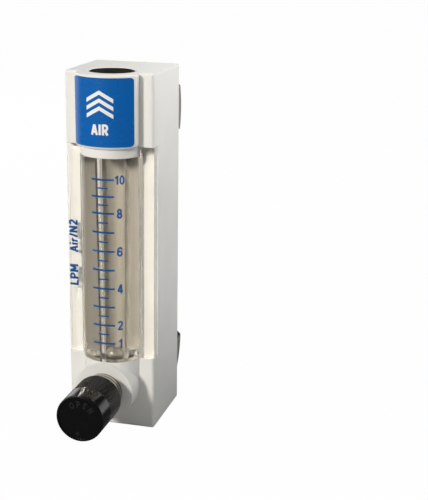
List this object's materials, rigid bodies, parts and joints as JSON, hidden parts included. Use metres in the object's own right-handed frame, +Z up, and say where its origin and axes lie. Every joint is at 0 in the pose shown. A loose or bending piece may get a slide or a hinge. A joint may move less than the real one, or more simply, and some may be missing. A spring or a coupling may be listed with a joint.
{
  "type": "air flow meter",
  "caption": "Variable area air flow meter: white body, clear tapered tube with a ball float, needle valve knob in front, threaded ports and panel nuts behind.",
  "frame": {"origin": "centre of the base, on the surface that the meter stands on", "axes": "+Z up along the measuring tube, -Y towards the front with the scale and the knob, +Y out of the rear ports"},
  "size_m": [0.03, 0.0717, 0.121],
  "materials": {
    "white_body": "satin moulded plastic",
    "clear_block": "polished clear acrylic",
    "ball": "polished",
    "blue_label": "gloss printed plate",
    "stainless": "turned",
    "white_bush": "turned white plastic",
    "black_plug": "gloss",
    "black_knob": "gloss band, ribbed grip",
    "nickel": "nickel plate",
    "brass": "turned",
    "dark_steel": "dull plate",
    "seal_rubber": "smooth"
  },
  "bodies": {
    "meter": {"housing": "white_body", "measuring_tube": "clear_block", "label_plate": "blue_label", "lower_float_stop": "stainless", "upper_float_stop": "stainless", "tube_gasket": "white_bush", "outlet_bush": "white_bush", "top_plug": "black_plug", "valve_bonnet": "nickel", "valve_seat": "brass", "inlet_fitting": "nickel", "outlet_fitting": "nickel", "inlet_nut": "dark_steel", "outlet_nut": "dark_steel", "inlet_seal": "seal_rubber", "outlet_seal": "seal_rubber", "tube_seal": "seal_rubber", "bush_seal": "seal_rubber", "plug_seal": "seal_rubber", "bonnet_seal": "seal_rubber"},
    "float": {"float_ball": "ball"},
    "gland_ring": {"stem_seal": "seal_rubber"},
    "spindle": {"valve_stem": "stainless", "knob": "black_knob", "knob_screw": "dark_steel"}
  },
  "joints": [
    {"name": "float_rise", "type": "slide", "parent": "meter", "child": "float", "axis": [0, 0, 1], "range_m": [0, 0.0668]},
    {"name": "valve_travel", "type": "slide", "parent": "meter", "child": "gland_ring", "axis": [0, -1, 0], "range_m": [0, 0.002]},
    {"name": "knob_turn", "type": "hinge", "parent": "gland_ring", "child": "spindle", "pos_m": [0, 0, 0.015], "axis": [0, -1, 0], "range_deg": [0, 1440]}
  ],
  "couplings": [
    {"joint": "knob_turn", "follows": "valve_travel", "rad_per_m": 12566}
  ]
}
